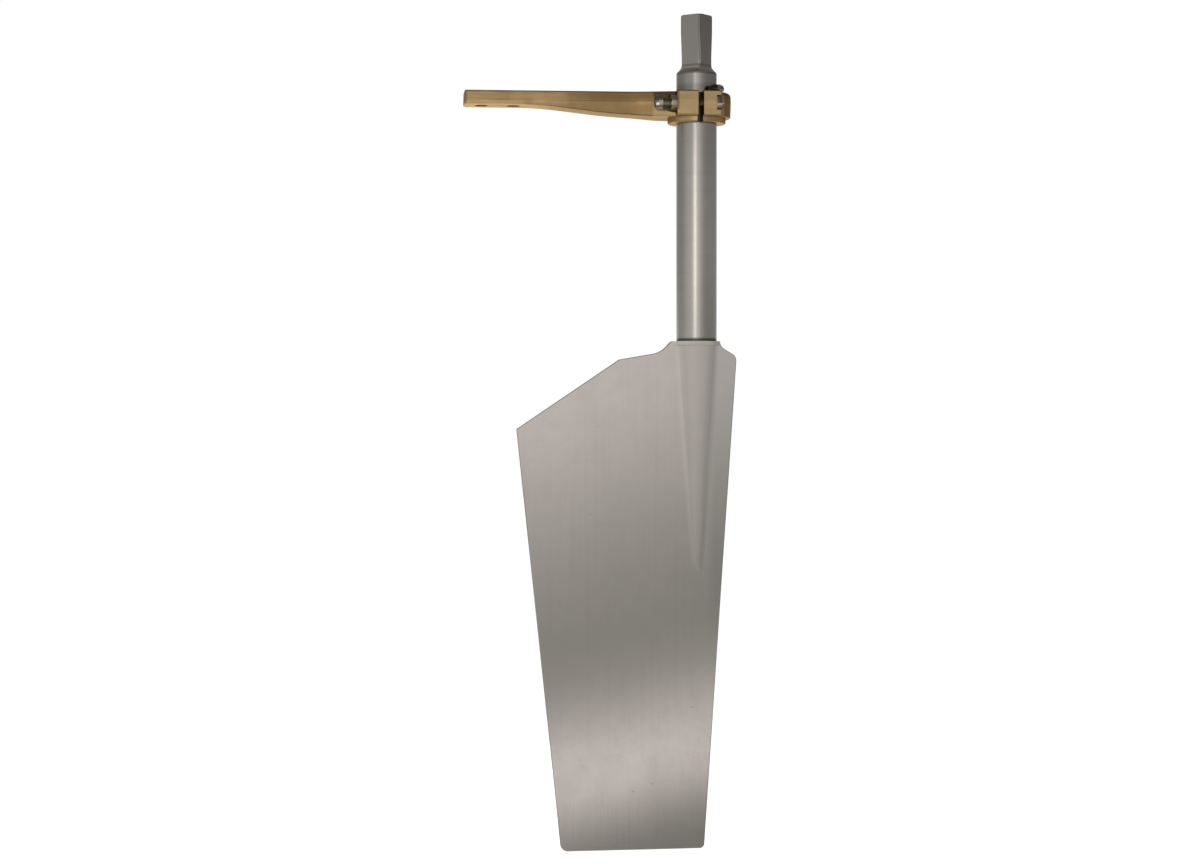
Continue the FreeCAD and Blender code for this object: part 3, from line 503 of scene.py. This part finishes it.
def threadedBolt():
    b = boltShape
    shape = bmesh.new()
    corner = b["across"] / math.sqrt(3)
    bmesh.ops.create_cone(shape, cap_ends=True, segments=6, radius1=corner, radius2=corner,
                          depth=b["headHeight"])
    bmesh.ops.translate(shape, verts=shape.verts, vec=(0, 0, b["headHeight"] / 2))
    cutRound(shape, b["across"] / 2 * b["headFlat"], b["headHeight"], b["chamfer"], b["cuts"])

    # plain shank, a hair below the thread's crests
    shank = bmesh.ops.create_cone(shape, cap_ends=True, segments=48, radius1=b["shank"], radius2=b["shank"],
                                  depth=b["plainLength"])
    bmesh.ops.translate(shape, verts=shank["verts"], vec=(0, 0, -b["plainLength"] / 2))

    # one turn of the thread's profile, spun down past the end and cut off square
    length = b["length"]
    flat = b["crestShare"] / 2
    profile = [(b["root"], 0.0), (b["crest"], 0.5 - flat), (b["crest"], 0.5 + flat), (b["root"], 1.0)]
    start = -b["plainLength"] + 2 * b["pitch"]
    verts = [shape.verts.new((radius, 0, start - share * b["pitch"])) for radius, share in profile]
    edges = [shape.edges.new(pair) for pair in zip(verts, verts[1:])]
    turns = math.ceil((length - b["plainLength"]) / b["pitch"]) + 4
    before = set(shape.verts) - set(verts)
    bmesh.ops.spin(shape, geom=verts + edges, cent=(0, 0, 0), axis=(0, 0, 1), angle=2 * math.pi * turns,
                   dvec=(0, 0, -b["pitch"] / b["turnSteps"]), steps=b["turnSteps"] * turns, use_merge=False)
    thread = [vert for vert in shape.verts if vert not in before]
    bmesh.ops.remove_doubles(shape, verts=thread, dist=0.002 * mm)
    for level, side in ((-b["plainLength"], 1), (-length, -1)):
        thread = [vert for vert in shape.verts if vert not in before]
        faces = {face for vert in thread for face in vert.link_faces}
        edges = {edge for vert in thread for edge in vert.link_edges}
        bmesh.ops.bisect_plane(shape, geom=thread + list(edges) + list(faces), dist=1e-8,
                               plane_co=(0, 0, level), plane_no=(0, 0, side), clear_outer=True)
        bmesh.ops.holes_fill(shape, edges=[edge for edge in shape.edges if edge.is_boundary], sides=0)
    for vert in [vert for vert in shape.verts if vert not in before]:
        reach = vert.co.xy.length
        limit = b["crest"] - b["point"] + (vert.co.z + length)
        if reach > limit:
            vert.co.xy *= limit / reach
    bmesh.ops.recalc_face_normals(shape, faces=shape.faces)
    return shape


boltLow, boltHigh = [Vector(end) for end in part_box("clamp_bolt")]
boltShape["length"] = boltHigh.x - boltLow.x - boltShape["headHeight"]
shape = threadedBolt()
bmesh.ops.rotate(shape, verts=shape.verts, cent=(0, 0, 0),
                 matrix=Matrix.Rotation(math.pi / 2, 3, "Y") @ Matrix.Rotation(boltShape["turn"], 3, "Z"))
bmesh.ops.translate(shape, verts=shape.verts,
                    vec=(boltHigh.x - boltShape["headHeight"],
                         (boltLow.y + boltHigh.y) / 2, (boltLow.z + boltHigh.z) / 2))
boltMesh = bpy.data.meshes.new("threadedBolt")
for face in shape.faces:
    face.smooth = True
shape.to_mesh(boltMesh)
shape.free()
boltMesh.set_sharp_from_angle(angle=boltShape["sharpAngle"])
boltMesh.materials.append(fastenerMaterial)
bolt = bpy.data.objects.new("threadedBolt", boltMesh)
scene.collection.objects.link(bolt)
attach(bolt, "root")
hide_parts("clamp_bolt")
print("clamp bolt threaded,", len(boltMesh.polygons), "faces")

# camera, level, at the photograph's distance and height

cameraSet = {
    "place": (-0.3540, -2.6784, -0.0898),
    "towards": (0.0958, 0.9954, 0.0),
    "focus": 2720.4,     # pixels, in an image 1200 wide
    "width": 1200,
    "film": 36.0,
}
cameraData = bpy.data.cameras.new("camera")
cameraData.sensor_width = cameraSet["film"]
cameraData.lens = cameraSet["focus"] / cameraSet["width"] * cameraSet["film"]
cameraData.clip_end = 60
camera = bpy.data.objects.new("camera", cameraData)
camera.location = cameraSet["place"]
camera.rotation_euler = Vector(cameraSet["towards"]).to_track_quat("-Z", "Y").to_euler()
scene.collection.objects.link(camera)
scene.camera = camera
scene.view_settings.view_transform = "Standard"

# studio: white surroundings, a pale floor, and a ring of grey card that only reflections see

studio = {
    "floorDrop": 0.86,
    "floorReach": 30,
    "paper": 0.9,
    "paperGlow": 0.4,
    "ringRadius": 5.0,
    "ringLow": -2.4,
    "ringHigh": 3.2,
    "ringSides": 96,
    # heights on the ring are shares of its radius
    "bandReach": 0.3,            # the bands run from this far below the origin to this far above
    "tilt": 0.25,                # how steeply they rise to the right, as far as the reach
    "tiltReach": 0.3,
    "lowToMiddle": (0.018, 0.045),
    "middleToHigh": (0.14, 0.175),
    "rosyGreys": (0.78, 1.0),    # from the darkest that is olive to the first that is rosy
    "rosy": (1.0, 0.965, 0.972),
    "olive": (1.0, 1.008, 0.972),
    "overhead": (0.25, 0.245, 0.23),
    "surroundings": 0.75,
    # place, size and watts
    "key": ((-2.2, -2.6, 2.6), 1.6, 45),
    "fill": ((2.6, -2.0, 1.6), 1.6, 18),
}


def glowMaterial(name, build):
    material = bpy.data.materials.new(name)
    material.use_nodes = True
    graph = Graph(material.node_tree)
    graph.finish("ShaderNodeOutputMaterial", build(graph))
    return material


def seenOrMirrored(graph):
    # 1 for the camera, for reflections and through glass, and 0 for the light that falls on the object
    path = graph.tree.nodes.new("ShaderNodeLightPath")
    camera, glossy, through = [Wire(graph, path.outputs["Is %s Ray" % kind])
                               for kind in ("Camera", "Glossy", "Transmission")]
    return camera + glossy + through


world = bpy.data.worlds.new("studio")
scene.world = world
world.use_nodes = True
graph = Graph(world.node_tree)
light = graph.mix(seenOrMirrored(graph), (studio["surroundings"],) * 3, (1.0, 1.0, 1.0))
background = graph.node("ShaderNodeBackground", {}, {"Color": light, "Strength": 1.0})
graph.finish("ShaderNodeOutputWorld", background)


def stagePiece(name, shape, material):
    mesh = bpy.data.meshes.new(name)
    shape.to_mesh(mesh)
    shape.free()
    thing = bpy.data.objects.new(name, mesh)
    scene.collection.objects.link(thing)
    mesh.materials.append(material)
    return thing


def floorPaper(graph):
    paper = graph.node("ShaderNodeBsdfDiffuse", {}, {"Color": (studio["paper"],) * 3 + (1,)})
    glow = graph.node("ShaderNodeEmission", {}, {"Color": (1, 1, 1, 1),
                                                 "Strength": seenOrMirrored(graph) * studio["paperGlow"]})
    return graph.node("ShaderNodeAddShader", {}, {0: paper, 1: glow})


shape = bmesh.new()
bmesh.ops.create_grid(shape, x_segments=1, y_segments=1, size=studio["floorReach"])
bmesh.ops.translate(shape, verts=shape.verts, vec=(0, 0, -studio["floorDrop"]))
floor = stagePiece("floor", shape, glowMaterial("floorPaper", floorPaper))
floor.visible_glossy = False

# the greys of the ring by height, from the lowest band to the highest
cardBands = (
    (0.00, 0.60), (0.028, 0.25), (0.047, 0.285), (0.072, 0.70), (0.096, 1.50), (0.126, 1.63), (0.157, 1.20),
    (0.19, 0.69), (0.228, 0.50), (0.266, 0.555), (0.308, 0.66), (0.346, 0.785), (0.387, 0.935),
    (0.426, 1.12), (0.48, 1.32), (0.54, 1.16), (0.64, 1.0), (0.90, 1.0), (1.00, 0.8))
# and all the way round it, from behind, past the left, the camera's side and the right, at three heights
lowTurns = (
    (0.00, 1.30), (0.06, 1.00), (0.11, 0.62), (0.15, 0.46), (0.20, 0.45), (0.247, 0.48), (0.287, 0.55),
    (0.324, 0.60), (0.375, 0.62), (0.44, 0.66), (0.475, 0.74), (0.495, 0.80), (0.508, 0.80), (0.521, 0.755),
    (0.542, 0.62), (0.583, 0.46), (0.617, 0.38), (0.652, 0.33), (0.70, 0.30), (0.78, 0.29), (0.86, 0.42),
    (0.91, 0.70), (0.95, 1.00), (1.00, 1.30))
middleTurns = (
    (0.00, 0.36), (0.062, 0.42), (0.10, 0.38), (0.146, 0.35), (0.20, 0.38), (0.247, 0.39), (0.287, 0.50),
    (0.324, 0.62), (0.358, 0.71), (0.392, 0.81), (0.41, 0.98), (0.424, 1.30), (0.44, 2.00), (0.455, 2.55),
    (0.468, 2.30), (0.487, 1.18), (0.518, 0.76), (0.55, 0.58), (0.583, 0.45), (0.617, 0.39), (0.652, 0.36),
    (0.72, 0.36), (0.782, 0.34), (0.847, 0.32), (1.00, 0.36))
highTurns = (
    (0.00, 0.40), (0.062, 0.42), (0.10, 0.30), (0.146, 0.27), (0.247, 0.33), (0.287, 0.38), (0.324, 0.43),
    (0.392, 0.39), (0.424, 0.33), (0.455, 0.31), (0.487, 0.66), (0.518, 0.66), (0.55, 0.46), (0.583, 0.33),
    (0.617, 0.26), (0.652, 0.20), (0.72, 0.18), (0.847, 0.15), (1.00, 0.40))


def greyCard(graph, stops, along):
    return graph.node("ShaderNodeValToRGB", {"stops": [(stop, (grey,) * 3) for stop, grey in stops]},
                      {"Fac": along})


def ringCard(graph):
    x, y, z = graph.axes(graph.place())
    side = x / studio["ringRadius"]
    height = z / studio["ringRadius"]
    within = graph.node("ShaderNodeClamp", {}, {"Value": side, "Min": 0.0, "Max": studio["tiltReach"]})
    level = graph.node("ShaderNodeMapRange", {}, {"Value": height - within * studio["tilt"],
                                                  "From Min": -studio["bandReach"],
                                                  "From Max": studio["bandReach"]})
    around = graph.node("ShaderNodeMath", {"operation": "ARCTAN2"}, {0: x, 1: -y}) / (2 * math.pi) + 0.5
    bands = greyCard(graph, cardBands, level)
    low, middle, high = [greyCard(graph, stops, around) for stops in (lowTurns, middleTurns, highTurns)]
    turns = graph.mix(graph.ramp(height, *studio["lowToMiddle"]), low, middle)
    turns = graph.mix(graph.ramp(height, *studio["middleToHigh"]), turns, high)
    # the bright bands are rosy, the dark ones olive
    tint = graph.mix(graph.ramp(bands, *studio["rosyGreys"]), studio["olive"], studio["rosy"])
    colour = graph.mix(1.0, graph.mix(1.0, bands, turns, "MULTIPLY"), tint, "MULTIPLY")
    return graph.node("ShaderNodeEmission", {}, {"Color": colour, "Strength": 1.0})


def overheadCard(graph):
    return graph.node("ShaderNodeEmission", {}, {"Color": (*studio["overhead"], 1), "Strength": 1.0})


def onlyReflected(thing):
    thing.visible_camera = False
    thing.visible_diffuse = False
    thing.visible_shadow = False


shape = bmesh.new()
bmesh.ops.create_cone(shape, cap_ends=False, segments=studio["ringSides"],
                      radius1=studio["ringRadius"], radius2=studio["ringRadius"],
                      depth=studio["ringHigh"] - studio["ringLow"])
bmesh.ops.translate(shape, verts=shape.verts, vec=(0, 0, (studio["ringHigh"] + studio["ringLow"]) / 2))
onlyReflected(stagePiece("ring", shape, glowMaterial("ringCard", ringCard)))
shape = bmesh.new()
bmesh.ops.create_circle(shape, cap_ends=True, segments=studio["ringSides"], radius=studio["ringRadius"])
bmesh.ops.translate(shape, verts=shape.verts, vec=(0, 0, studio["ringHigh"]))
onlyReflected(stagePiece("overhead", shape, glowMaterial("overheadCard", overheadCard)))

for name in ("key", "fill"):
    spot, size, power = studio[name]
    lampData = bpy.data.lights.new(name, "AREA")
    lampData.size = size
    lampData.energy = power
    lamp = bpy.data.objects.new(name, lampData)
    lamp.location = spot
    lamp.rotation_euler = (-Vector(spot)).to_track_quat("-Z", "Y").to_euler()
    lamp.visible_glossy = False
    scene.collection.objects.link(lamp)
print("studio ready")
